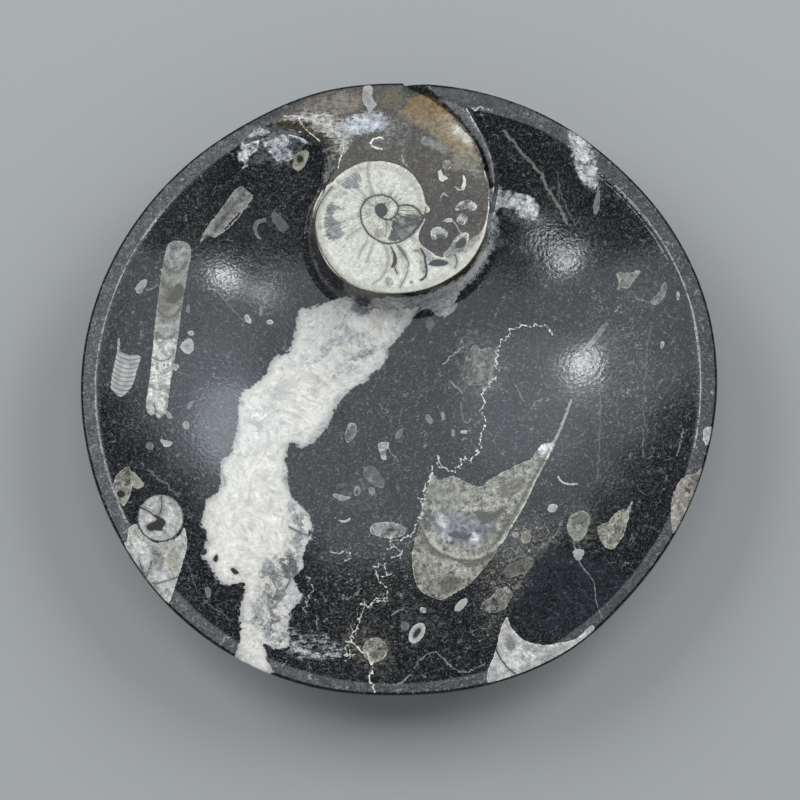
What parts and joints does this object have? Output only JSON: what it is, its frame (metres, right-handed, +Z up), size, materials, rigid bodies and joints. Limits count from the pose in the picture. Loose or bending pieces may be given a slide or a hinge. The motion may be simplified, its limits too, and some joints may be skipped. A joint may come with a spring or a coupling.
{
  "type": "fossil ammonite plate",
  "caption": "Round hand-carved dish of black fossil limestone: flat rim, hollow bowl and a flat-topped head that shows a polished ammonite.",
  "frame": {"origin": "centre of the flat foot, on the surface that the dish stands on", "axes": "+Z up, +Y from the middle of the bowl to the head with the ammonite, +X to the right of the head seen from the bowl"},
  "size_m": [0.2017, 0.2012, 0.022],
  "materials": {
    "fossil_limestone": "polished"
  },
  "bodies": {
    "root": {"plate": "fossil_limestone"}
  },
  "joints": []
}
